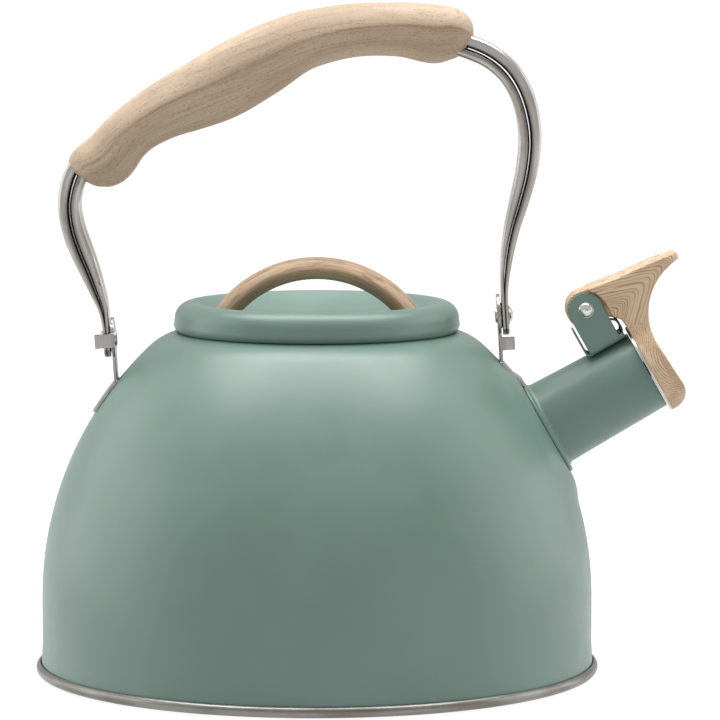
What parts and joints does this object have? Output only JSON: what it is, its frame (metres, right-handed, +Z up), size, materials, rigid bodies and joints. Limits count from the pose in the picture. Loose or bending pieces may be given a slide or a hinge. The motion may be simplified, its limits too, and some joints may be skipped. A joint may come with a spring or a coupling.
{
  "type": "stovetop whistling kettle",
  "caption": "Domed stovetop kettle with a swinging bail grip, lift-off lid and sprung whistle lever on its spout.",
  "frame": {"origin": "centre of the base's underside, on the dome's axis", "axes": "+Z up, +X towards the spout, the front of the kettle faces -Y"},
  "size_m": [0.2532, 0.22, 0.2614],
  "materials": {
    "green_paint": "satin sage green enamel paint",
    "brushed_steel": "fine brushed stainless steel",
    "polished_steel": "bright stainless steel",
    "wood_effect": "matt pale oak effect",
    "aluminium": "plain"
  },
  "bodies": {
    "kettle": {"body_shell": "green_paint", "base_pan": "brushed_steel", "base_core": "aluminium", "base_cap": "brushed_steel", "spout_tube": "green_paint", "hinge_bracket": "green_paint", "lever_pin": "polished_steel", "lever_spring": "polished_steel", "lug_left": "brushed_steel", "lug_right": "brushed_steel", "bail_rivet_left": "polished_steel", "bail_rivet_right": "polished_steel", "bail_washers": "polished_steel"},
    "bail": {"arm_outer_left": "brushed_steel", "arm_inner_left": "brushed_steel", "arm_outer_right": "brushed_steel", "arm_inner_right": "brushed_steel", "grip": "wood_effect"},
    "lid": {"lid_shell": "green_paint", "lid_skirt": "brushed_steel", "lid_handle": "wood_effect", "lid_screws": "polished_steel", "lid_washers": "polished_steel"},
    "lever": {"whistle_lever": "wood_effect", "whistle_plate": "polished_steel", "whistle_cup": "polished_steel", "whistle_screws": "polished_steel"}
  },
  "joints": [
    {"name": "bail_swing", "type": "hinge", "parent": "kettle", "child": "bail", "pos_m": [-0.0818, 0, 0.1304], "axis": [0.9982, 0, 0.0605], "range_deg": [-55, 17]},
    {"name": "lid_lift", "type": "slide", "parent": "kettle", "child": "lid", "axis": [0, 0, 1], "range_m": [0, 0.05]},
    {"name": "lever_tilt", "type": "hinge", "parent": "kettle", "child": "lever", "pos_m": [0.10442, 0, 0.14261], "axis": [0, -1, 0], "range_deg": [0, 70], "stiffness_Nm_per_rad": 0.04, "springref_deg": -68.75}
  ]
}
